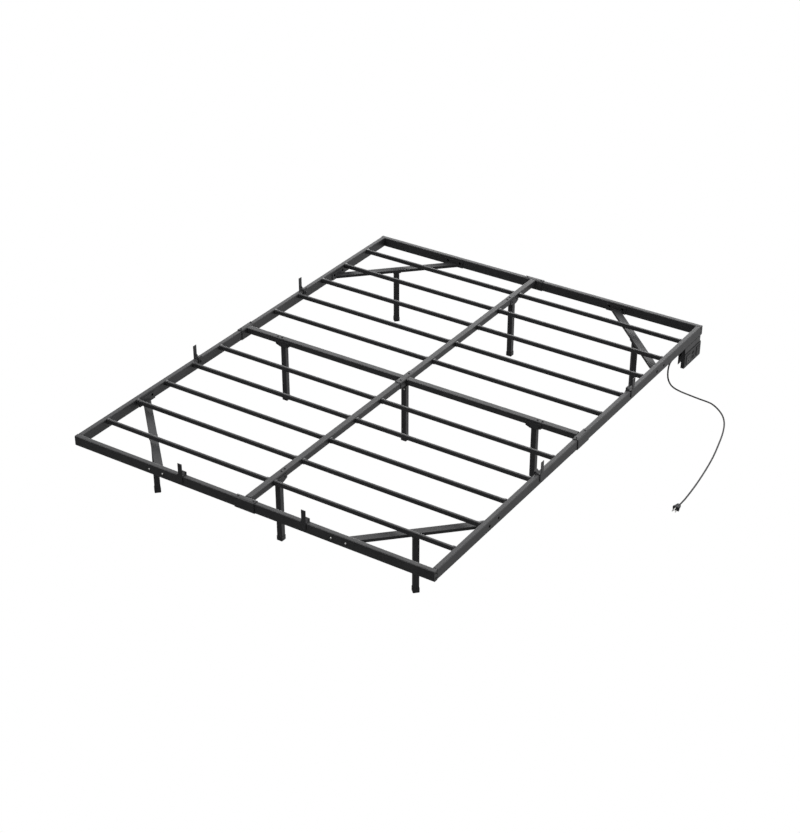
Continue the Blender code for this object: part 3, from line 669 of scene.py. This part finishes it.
class BED_OT_cord(Operator):
    """Mains cord, its ribbed strain relief and its plug"""

    bl_idname = "bed.cord"
    bl_label = "Cord and plug"

    def execute(self, context):
        relief = self.relief(context)
        plug = self.plug()
        centre = middle("cord_strain_relief")
        start = Vector((centre.x, RELIEF_LOW.y - TOUCH, centre.z))
        route = [start] + [CORD_CORNER + Vector(point) for point in CORD_ROUTE]
        points = smooth_route(route, CORD_POINTS)
        curve = bpy.data.curves.new("mains_cord", "CURVE")
        curve.dimensions = "3D"
        curve.bevel_depth = CORD_RADIUS
        curve.bevel_resolution = CORD_ROUNDING
        curve.use_fill_caps = True
        spline = curve.splines.new("POLY")
        spline.points.add(len(points) - 1)
        spline.use_smooth = True
        for knot, point in zip(spline.points, points):
            knot.co = (*point, 1.0)
        cord = bpy.data.objects.new("mains_cord", curve)
        context.scene.collection.objects.link(cord)
        finish_piece(cord, "mains_cord", rubber())
        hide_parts("power_cord")
        length = sum((after - before).length for before, after in zip(points, points[1:]))
        return {"FINISHED"}

    def relief(self, context):
        """Tapered sleeve with flex rings, turned to lie along the rail."""
        rings = context.scene.bed_fittings.relief_rings
        length = RELIEF_HIGH.y - RELIEF_LOW.y
        root = (RELIEF_HIGH.x - RELIEF_LOW.x) / 2
        piece = start_round(root, 0, length, RELIEF_SIDES, root * RELIEF_TAPER)
        select_edges(piece, lambda a, b: abs(a.z - b.z) > length / 2)
        bpy.ops.mesh.subdivide(number_cuts=4 * rings)
        leave_edit()
        step = length / (4 * rings + 1)
        for ring in range(1, rings):
            level = step * (4 * ring + 1)
            select_edges(piece, lambda a, b: max(abs(a.z - level), abs(b.z - level)) < step * 0.6)
            bpy.ops.transform.resize(value=(RELIEF_GROOVE, RELIEF_GROOVE, 1),
                                     center_override=(0, 0, level))
            leave_edit()
        soften(piece, THIN_EDGE)
        centre = middle("cord_strain_relief")
        root_end = Matrix.Translation((centre.x, RELIEF_HIGH.y, centre.z))
        piece.data.transform(root_end @ facing((0, -1, 0)))
        finish_piece(piece, "ribbed_strain_relief", rubber())
        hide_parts("cord_strain_relief")
        return piece

    def plug(self):
        """Moulded plug body with grip ridges, two blades and an earth pin."""
        centre = middle("cord_plug")
        half = (PLUG_HIGH.x - PLUG_LOW.x) / 2
        height = PLUG_HIGH.z - PLUG_LOW.z
        back = PLUG_HIGH.y
        face = back - PLUG_LENGTH
        body = start_block((-half, face, 0), (half, back, height))
        select_faces(body, lambda side: side.normal.y > SQUARE_ON)
        bpy.ops.transform.resize(value=(PLUG_TAIL_WIDTH, 1, PLUG_TAIL_HEIGHT),
                                 center_override=(0, back, height / 2))
        leave_edit()
        select_edges(body, lambda a, b: abs(a.y - b.y) > PLUG_LENGTH / 2)
        bpy.ops.mesh.subdivide(number_cuts=PLUG_STEPS - 1)
        leave_edit()
        step = PLUG_LENGTH / PLUG_STEPS
        for groove in PLUG_GROOVES:
            level = face + groove * step
            select_edges(body, lambda a, b: max(abs(a.y - level), abs(b.y - level)) < step * 0.4)
            bpy.ops.transform.resize(value=(PLUG_GROOVE_WIDTH, 1, PLUG_GROOVE_HEIGHT),
                                     center_override=(0, level, height / 2))
            leave_edit()
        soften(body, PLUG_EDGE, 3)
        body.data.transform(Matrix.Translation((centre.x, 0, PLUG_LOW.z)))
        finish_piece(body, "plug_body", dull_plastic())
        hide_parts("cord_plug")
        pieces = [body]
        reach = face - PLUG_LOW.y
        for number, way in enumerate((-1, 1), 1):
            x = centre.x + way * PIN_SPREAD
            z = PLUG_LOW.z + height / 2 - BLADE_DROP
            low = (x - BLADE_HALF_WIDTH, face - reach * BLADE_REACH, z - BLADE_HALF_HEIGHT)
            high = (x + BLADE_HALF_WIDTH, face + PIN_ROOT, z + BLADE_HALF_HEIGHT)
            blade = start_block(low, high)
            soften(blade, SOFT_EDGE)
            pieces.append(finish_piece(blade, f"plug_blade_{number}", zinc()))
        pin = start_round(EARTH_PIN_RADIUS, -PIN_ROOT, reach, ROUND_SIDES)
        soften(pin, EARTH_PIN_EDGE)
        pin_root = Matrix.Translation((centre.x, face, PLUG_LOW.z + height / 2 + EARTH_PIN_RISE))
        pin.data.transform(pin_root @ facing((0, -1, 0)))
        pieces.append(finish_piece(pin, "plug_earth_pin", zinc()))
        return pieces


class BED_OT_frame_finish(Operator):
    """Finishes of the CAD nodes"""

    bl_idname = "bed.frame_finish"
    bl_label = "Frame finish"

    def execute(self, context):
        finishes = {STEEL_SLOT: coat(), PLASTIC_SLOT: moulded(), RUBBER_SLOT: rubber()}
        for name, node in frame["nodes"].items():
            for place in node.material_slots:
                place.material = finishes[SLOTS[name]]
        return {"FINISHED"}


class BED_OT_feet(Operator):
    """Plastic foot caps"""

    bl_idname = "bed.feet"
    bl_label = "Foot caps"

    def execute(self, context):
        wall = context.scene.bed_fittings.cap_wall
        half = FOOT_HALF + TOUCH
        cap = start_block((-half, -half, CAP_BOTTOM), (half, half, CAP_TOP))
        select_edges(cap, lambda a, b: abs(a.z - b.z) > CAP_TOP / 2)
        bpy.ops.mesh.bevel(offset=CAP_CORNER, segments=4)
        leave_edit()
        select_faces(cap, lambda face: abs(face.normal.z) > SQUARE_ON)
        bpy.ops.mesh.delete(type="FACE")
        leave_edit()
        apply_modifier(cap, "SOLIDIFY", thickness=wall, offset=1.0)
        soften(cap, SOFT_EDGE)
        for name in LEGS:
            centre = middle(name)
            at_corner = not ("mid" in name or "centre" in name)
            turn = Matrix.Rotation(math.pi / 4 if at_corner else 0.0, 4, "Z")
            place_copy(cap, f"{name}_cap", Matrix.Translation((centre.x, centre.y, 0)) @ turn,
                       moulded())
        discard(cap)
        return {"FINISHED"}


class BED_OT_screws(Operator):
    """Button screws on sleeves, hub, beams, saddles and bracket"""

    bl_idname = "bed.screws"
    bl_label = "Screws"

    def execute(self, context):
        fittings = context.scene.bed_fittings
        radius, height = fittings.screw_radius, fittings.screw_height
        head = start_round(radius, 0, height, SCREW_SIDES)
        select_edges(head, lambda a, b: min(a.z, b.z) > height * 0.9)
        bpy.ops.mesh.bevel(offset=height * SCREW_EDGE, segments=3)
        leave_edit()
        recess(head, UP, radius * SCREW_RIM, height * SCREW_RECESS)
        for number, (place, out, material) in enumerate(self.places(), 1):
            matrix = Matrix.Translation(place) @ facing(out)
            place_copy(head, f"button_screw_{number:02d}", matrix, material)
        discard(head)
        return {"FINISHED"}

    def places(self):
        """Where each screw sits, which way it faces and what it is made of."""
        dark = blackened()
        for name in ("foot_sleeve", "head_sleeve"):
            top, centre = corners(name)[1].z + LIFT, middle(name)
            y = math.copysign(HALF_LENGTH - SLEEVE_SCREW_INSET, centre.y)
            for way in (-1, 1):
                yield (centre.x + way * SLEEVE_SCREW_SPREAD, y, top), UP, dark
        for name in ("left_sleeve", "right_sleeve"):
            top, centre = corners(name)[1].z + LIFT, middle(name)
            x = math.copysign(HALF_WIDTH - SLEEVE_SCREW_INSET, centre.x)
            for way in (-1, 1):
                yield (x, centre.y + way * SLEEVE_SCREW_SPREAD, top), UP, dark
        hub_top = corners("centre_hub")[1].z + LIFT
        for way in (-1, 1):
            yield (0, way * HUB_SCREW_REACH, hub_top), UP, dark
            for step in (-BEAM_SCREW_STEP, BEAM_SCREW_STEP):
                yield (0, way * BEAM_SCREW_Y + step, BEAM_TOP + LIFT), UP, dark
                yield (way * BEAM_SCREW_X + step, 0, BEAM_TOP + LIFT), UP, dark
        for name in ("leg_foot_centre", "leg_head_centre"):
            low, high = corners(name)
            centre = middle(name)
            for side in (-1, 1):
                x = high.x + LIFT if side > 0 else low.x - LIFT
                for step in (-END_LEG_SCREW_STEP, END_LEG_SCREW_STEP):
                    yield (x, centre.y + step, high.z - LEG_SCREW_DROP), (side, 0, 0), dark
        for name in ("leg_mid_left", "leg_mid_right"):
            low, high = corners(name)
            centre = middle(name)
            for side in (-1, 1):
                y = high.y + LIFT if side > 0 else low.y - LIFT
                for step in (-SIDE_LEG_SCREW_STEP, SIDE_LEG_SCREW_STEP):
                    yield (centre.x + step, y, high.z - LEG_SCREW_DROP), (0, side, 0), dark
        leg_top = corners("leg_mid_centre")[1].z
        yield (BOLT_X, BOLT_Y, leg_top - BOLT_DROP), (0, -1, 0), pale_zinc()
        centre = middle("outlet_bracket")
        for step in (-BRACKET_SCREW_STEP, BRACKET_SCREW_STEP):
            yield (BRACKET_LOW.x - LIFT, centre.y + step, centre.z), (-1, 0, 0), dark


class BED_OT_rivets(Operator):
    """Bright domed rivets in the bolt holes of the foot and head rails"""

    bl_idname = "bed.rivets"
    bl_label = "Rivets"

    def execute(self, context):
        radius = context.scene.bed_fittings.rivet_radius
        rivet = start_round(radius, -RIVET_ROOT, RIVET_TOP, ROUND_SIDES)
        select_edges(rivet, lambda a, b: min(a.z, b.z) > RIVET_TOP / 2)
        bpy.ops.mesh.bevel(offset=RIVET_ROUNDING, segments=6)
        leave_edit()
        centre_x = INNER_X - (INNER_X - abs(middle("leg_foot_left").x)) * 2
        z = (RAIL_LOW.z + DECK_TOP) / 2
        number = 0
        for way in (-1, 1):
            for side in (-1, 1):
                for step in (-RIVET_STEP, RIVET_STEP):
                    number += 1
                    place = Matrix.Translation((side * centre_x + step, way * (HALF_LENGTH + LIFT), z))
                    place_copy(rivet, f"rivet_{number}", place @ facing((0, way, 0)),
                               pale_zinc())
        discard(rivet)
        return {"FINISHED"}


class BED_OT_slat_clips(Operator):
    """Folded clips that hold the slats' ends"""

    bl_idname = "bed.slat_clips"
    bl_label = "Slat clips"

    def execute(self, context):
        fittings = context.scene.bed_fittings
        low, high = corners(SLATS[0])
        half = (high.y - low.y) / 2 + TOUCH
        height = high.z - low.z
        length = fittings.clip_length
        clip = start_block((0, -half, -height), (length, half, TOUCH))
        select_faces(clip, lambda face: face.normal.z < -SQUARE_ON or abs(face.normal.x) > SQUARE_ON)
        bpy.ops.mesh.delete(type="FACE")
        leave_edit()
        apply_modifier(clip, "SOLIDIFY", thickness=fittings.clip_wall, offset=1.0)
        soften(clip, THIN_EDGE)
        for name in SLATS:
            low, high = corners(name)
            y = (low.y + high.y) / 2
            for end, x in (("a", low.x), ("b", high.x - length)):
                place_copy(clip, f"{name}_clip_{end}", Matrix.Translation((x, y, high.z)),
                           glossy())
        discard(clip)
        return {"FINISHED"}


class BED_OT_thumb_screws(Operator):
    """Ribbed thumb screws that clamp the retainers"""

    bl_idname = "bed.thumb_screws"
    bl_label = "Thumb screws"

    def execute(self, context):
        fittings = context.scene.bed_fittings
        radius, ribs = fittings.knob_radius, fittings.knob_ribs
        knob = start_round(radius, KNOB_BOTTOM, KNOB_TOP, 2 * ribs)
        rib_turn = math.pi / ribs
        select_edges(knob, lambda a, b: abs(a.z - b.z) > radius / 2
                     and round(math.atan2(a.y, a.x) / rib_turn) % 2)
        bpy.ops.transform.resize(value=(KNOB_GROOVE, KNOB_GROOVE, 1), center_override=(0, 0, 0))
        leave_edit()
        soften(knob, SOFT_EDGE)
        recess(knob, UP, radius * KNOB_RIM, KNOB_RECESS)
        for name in RETAINERS:
            low, high = corners(name)
            centre = (low + high) / 2
            z = DECK_TOP - KNOB_DROP
            if "foot_" in name and abs(low.y) > HALF_LENGTH - SADDLE_REACH:
                place, out = (centre.x, high.y, z), (0, 1, 0)
            elif centre.x > 0:
                place, out = (low.x, centre.y, z), (-1, 0, 0)
            else:
                place, out = (high.x, centre.y, z), (1, 0, 0)
            place_copy(knob, f"{name}_thumb_screw", Matrix.Translation(place) @ facing(out),
                       blackened(), name)
        discard(knob)
        return {"FINISHED"}


class BED_OT_outlet(Operator):
    """Face plate with two mains sockets and two charging ports"""

    bl_idname = "bed.outlet"
    bl_label = "Outlet face"

    def execute(self, context):
        face_x = OUTLET_HIGH.x
        foot, head = OUTLET_LOW.y, OUTLET_HIGH.y
        low, high = OUTLET_LOW.z, BRACKET_HIGH.z - OUTLET_APRON - OUTLET_SEAM
        plate = start_block((face_x, foot + PLATE_RIM, low + PLATE_RIM),
                            (face_x + PLATE_DEPTH, head - PLATE_RIM, high - PLATE_RIM))
        self.round_corners(plate, PLATE_CORNER)
        recess(plate, TO_RIGHT, PLATE_BORDER, PLATE_RECESS)
        soften(plate, TINY_EDGE, 1)
        finish_piece(plate, "outlet_face_plate", moulded())
        front = face_x + SOCKET_FRONT
        middle_z = (low + high) / 2
        self.seam_shade_strip(face_x, foot, head, high)
        for number, (step, finish) in enumerate(zip(SOCKET_STEPS, (pale_plastic, moulded)), 1):
            self.mains_socket(number, front, foot + step, middle_z, finish())
        for number, step in enumerate((PORT_SPREAD, -PORT_SPREAD), 1):
            self.charging_port(number, front, foot + PORT_STEP, middle_z + step)
        return {"FINISHED"}

    def round_corners(self, piece, radius):
        """Round the corners of a flat piece that faces +X."""
        select_edges(piece, lambda a, b: abs(a.x - b.x) > 0.001)
        bpy.ops.mesh.bevel(offset=radius, segments=6)
        leave_edit()

    def seam_shade_strip(self, face_x, foot, head, seam_low):
        """Near-black strip in the seam between apron and housing: painted shade of the groove."""
        strip = start_block((face_x - SEAM_SHADE_BACK, foot + SEAM_SHADE_INSET, seam_low + LIFT),
                            (face_x - SEAM_SHADE_FRONT, head - SEAM_SHADE_STOP, seam_low + OUTLET_SEAM - LIFT))
        soften(strip, THIN_EDGE)
        finish_piece(strip, "outlet_seam_shade", painted_shade_black())

    def mains_socket(self, number, x, y, z, material):
        """Socket insert with two slots and an earth hole, in a near-black ring: painted shade of the recess
        round the insert.
        """
        shade_surround = start_block(
            (x - SURROUND_DEPTH, y - SURROUND_HALF_WIDTH, z - SURROUND_HALF_HEIGHT),
            (x + SURROUND_DEPTH, y + SURROUND_HALF_WIDTH, z + SURROUND_HALF_HEIGHT))
        self.round_corners(shade_surround, SOCKET_CORNER)
        soften(shade_surround, TINY_EDGE, 1)
        finish_piece(shade_surround, f"mains_socket_{number}_surround", painted_shade_black())
        front = x + SURROUND_DEPTH + TOUCH
        insert = start_block((front, y - INSERT_HALF_WIDTH, z - INSERT_HALF_HEIGHT),
                             (front + INSERT_DEPTH, y + INSERT_HALF_WIDTH, z + INSERT_HALF_HEIGHT))
        self.round_corners(insert, SOCKET_CORNER)
        cutters = []
        for way in (-1, 1):
            slot_y = y + way * PIN_SPREAD
            cutters.append(start_block((x - SLOT_BACK, slot_y - SLOT_HALF_WIDTH, z),
                                       (x + SLOT_FRONT, slot_y + SLOT_HALF_WIDTH, z + SLOT_HEIGHT)))
        earth = start_round(EARTH_RADIUS, 0, SLOT_BACK + SLOT_FRONT, ROUND_SIDES)
        earth.data.transform(Matrix.Translation((x - SLOT_BACK, y, z - EARTH_DROP)) @ facing((1, 0, 0)))
        cut(insert, cutters + [earth])
        soften(insert, INSERT_EDGE, 1)
        finish_piece(insert, f"mains_socket_{number}", material)

    def charging_port(self, number, x, y, z):
        """Rectangular port with its contact tongue."""
        # The shell is near-black: painted shade of the port's opening.
        shell = start_block((x, y - PORT_HALF_WIDTH, z - PORT_HALF_HEIGHT),
                            (x + PORT_DEPTH, y + PORT_HALF_WIDTH, z + PORT_HALF_HEIGHT))
        recess(shell, TO_RIGHT, PORT_RIM, PORT_RECESS)
        soften(shell, TINY_EDGE, 1)
        finish_piece(shell, f"charging_port_{number}", painted_shade_black())
        tongue = start_block((x + TONGUE_BACK, y - TONGUE_HALF_WIDTH, z + TONGUE_LOW),
                             (x + PORT_DEPTH, y + TONGUE_HALF_WIDTH, z + TONGUE_HIGH))
        soften(tongue, TINY_EDGE, 1)
        finish_piece(tongue, f"charging_port_{number}_tongue", moulded())


class BED_PT_panel(Panel):
    """Sidebar panel that lists the pieces"""

    bl_idname = "BED_PT_panel"
    bl_label = "Bed Base"
    bl_space_type = "VIEW_3D"
    bl_region_type = "UI"
    bl_category = "Bed Base"

    def draw(self, context):
        for operator in OPERATORS:
            self.layout.operator(operator.bl_idname)
        for group in (context.scene.bed_finishes, context.scene.bed_fittings, context.scene.bed_stage):
            column = self.layout.column()
            for name in group.__annotations__:
                column.prop(group, name)


GROUPS = {"bed_finishes": BedFinishes, "bed_fittings": BedFittings, "bed_stage": BedStage}
OPERATORS = (BED_OT_stage, BED_OT_cord, BED_OT_frame_finish, BED_OT_feet, BED_OT_screws, BED_OT_rivets,
             BED_OT_slat_clips, BED_OT_thumb_screws, BED_OT_outlet)


def register():
    """Make the settings, operators and panel known to Blender."""
    for name, group in GROUPS.items():
        bpy.utils.register_class(group)
        setattr(bpy.types.Scene, name, PointerProperty(type=group))
    for kind in (*OPERATORS, BED_PT_panel):
        bpy.utils.register_class(kind)


def unregister():
    """Take them away again."""
    for kind in reversed((*OPERATORS, BED_PT_panel)):
        bpy.utils.unregister_class(kind)
    for name, group in reversed(GROUPS.items()):
        delattr(bpy.types.Scene, name)
        bpy.utils.unregister_class(group)


def main():
    """Build the looks."""
    register()
    bpy.ops.bed.stage()
    bpy.ops.bed.cord()
    bpy.ops.bed.frame_finish()
    bpy.ops.bed.feet()
    bpy.ops.bed.screws()
    bpy.ops.bed.rivets()
    bpy.ops.bed.slat_clips()
    bpy.ops.bed.thumb_screws()
    bpy.ops.bed.outlet()
    bpy.context.view_layer.update()
    boxes = {"cad": CAD_BOX, "visual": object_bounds()}
    {name: [list(corner) for corner in box] for name, box in boxes.items()}


if __name__ == "__main__":
    main()
